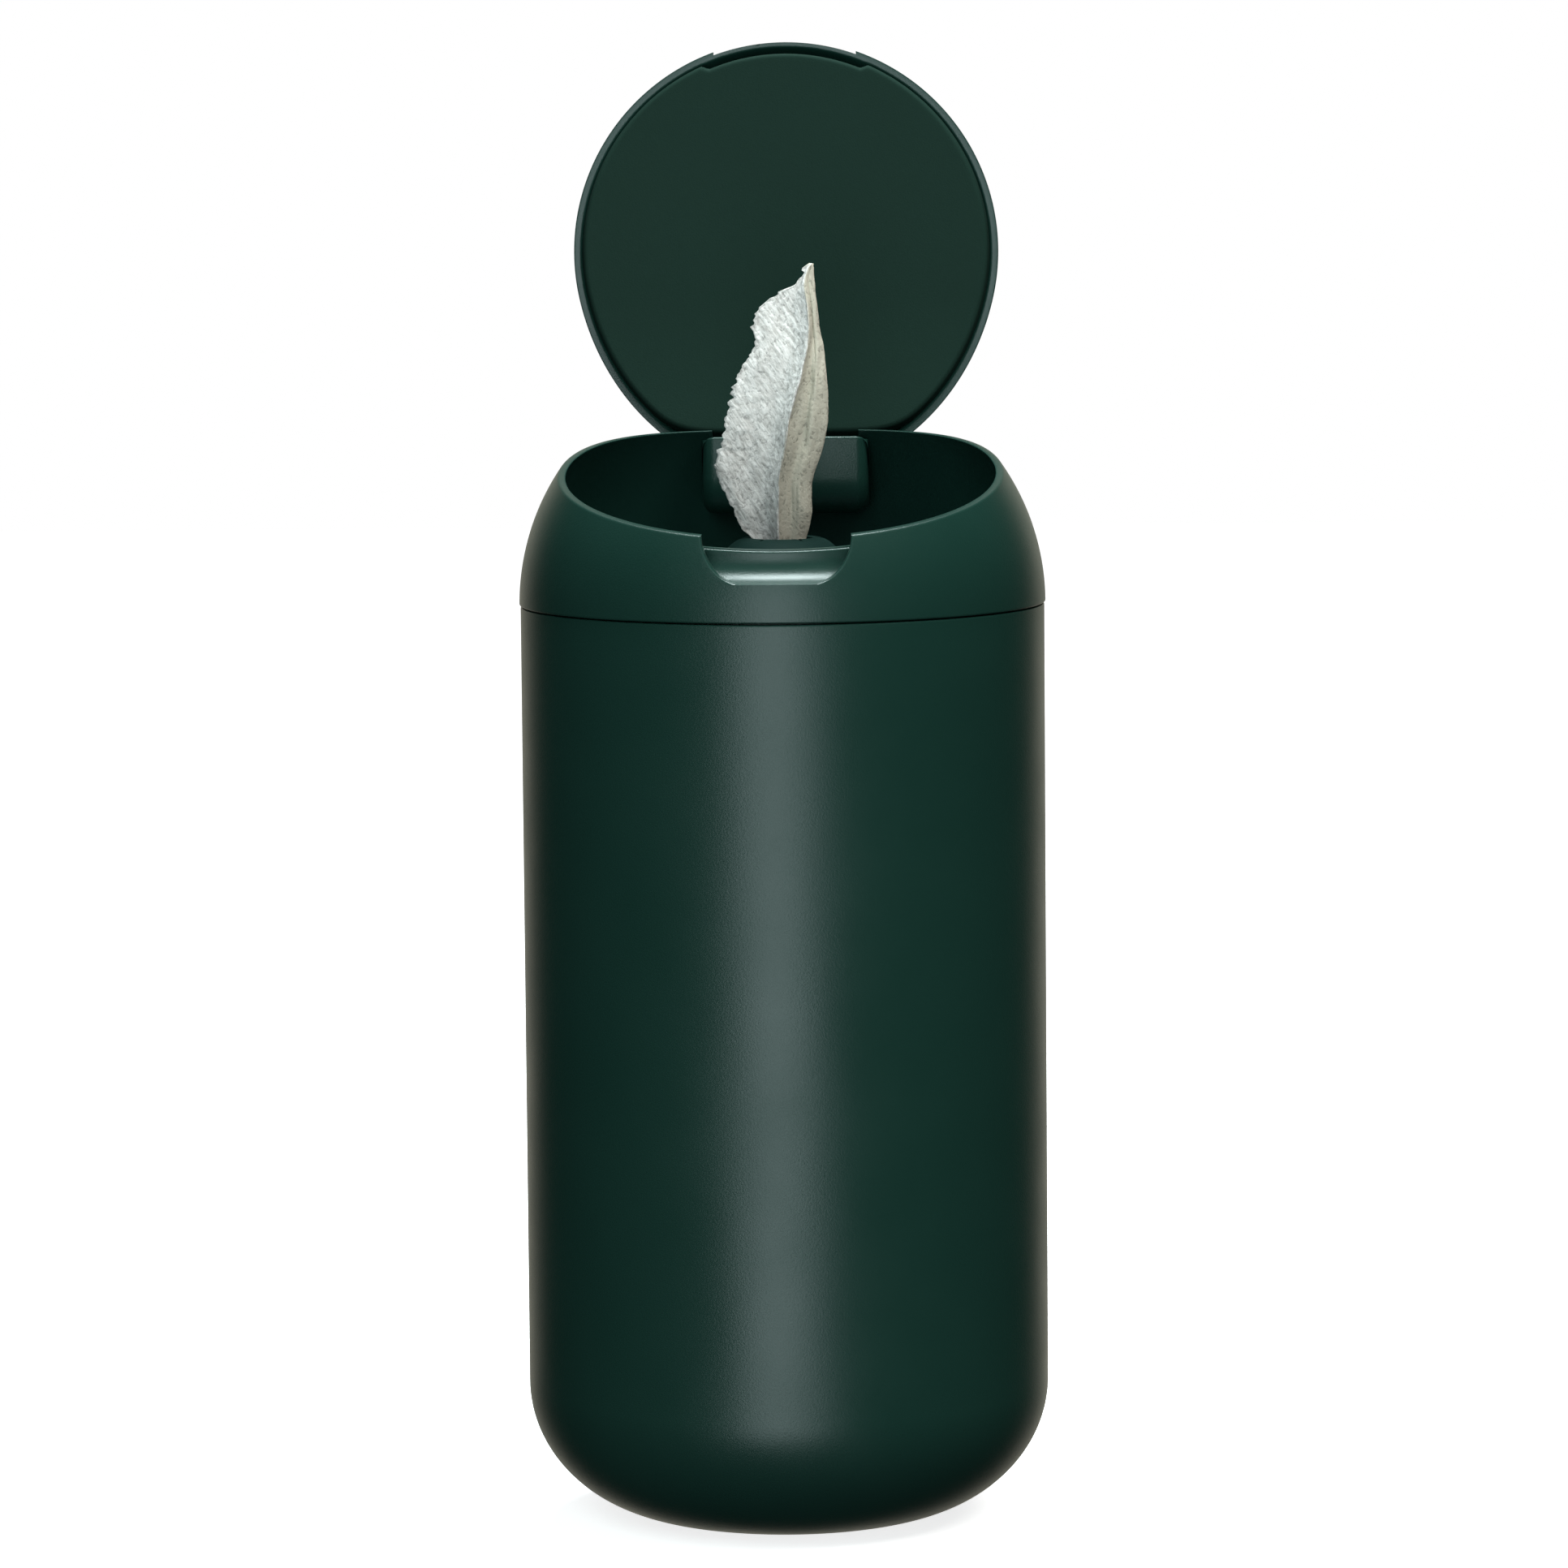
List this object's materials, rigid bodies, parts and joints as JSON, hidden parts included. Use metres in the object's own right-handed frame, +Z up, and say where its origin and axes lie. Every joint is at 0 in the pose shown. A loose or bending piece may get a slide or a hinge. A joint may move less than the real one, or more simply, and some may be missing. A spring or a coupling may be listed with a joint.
{
  "type": "wipes dispenser",
  "caption": "Round dark green wipes dispenser with a rounded bottom, a domed collar with a slanted mouth and finger scoop, a hinged lid standing open and a wipe drawn up through a soft valve.",
  "frame": {"origin": "on the floor under the middle of the canister's foot pad", "axes": "+Z up the canister's axis, -Y towards the finger scoop, +Y towards the lid hinge, lid standing open"},
  "size_m": [0.1104, 0.1389, 0.3108],
  "materials": {
    "canister_plastic": "satin soft-touch dark green, fine moulded grain",
    "foot_rubber": "matte",
    "wipe_cloth": "white non-woven cloth, matte",
    "collar_plastic": "satin soft-touch dark green",
    "seal_silicone": "smooth silicone",
    "plate_plastic": "satin",
    "valve_silicone": "matte silicone",
    "lid_plastic": "satin soft-touch dark green",
    "liner_plastic": "matte, soft edge"
  },
  "bodies": {
    "canister": {"canister": "canister_plastic", "foot_pad": "foot_rubber", "wipes_roll": "wipe_cloth"},
    "collar": {"collar": "collar_plastic", "collar_gasket": "seal_silicone", "dispensing_plate": "plate_plastic", "dispensing_valve": "valve_silicone", "wipe": "wipe_cloth"},
    "lid": {"lid_shell": "lid_plastic", "lid_liner": "liner_plastic"}
  },
  "joints": [
    {"name": "collar_lift", "type": "slide", "parent": "canister", "child": "collar", "axis": [0, 0, 1], "range_m": [0, 0.06]},
    {"name": "lid_hinge", "type": "hinge", "parent": "collar", "child": "lid", "pos_m": [0, 0.043, 0.2182], "axis": [1, 0, 0], "range_deg": [0, 106], "deforming": ["wipe"]}
  ]
}
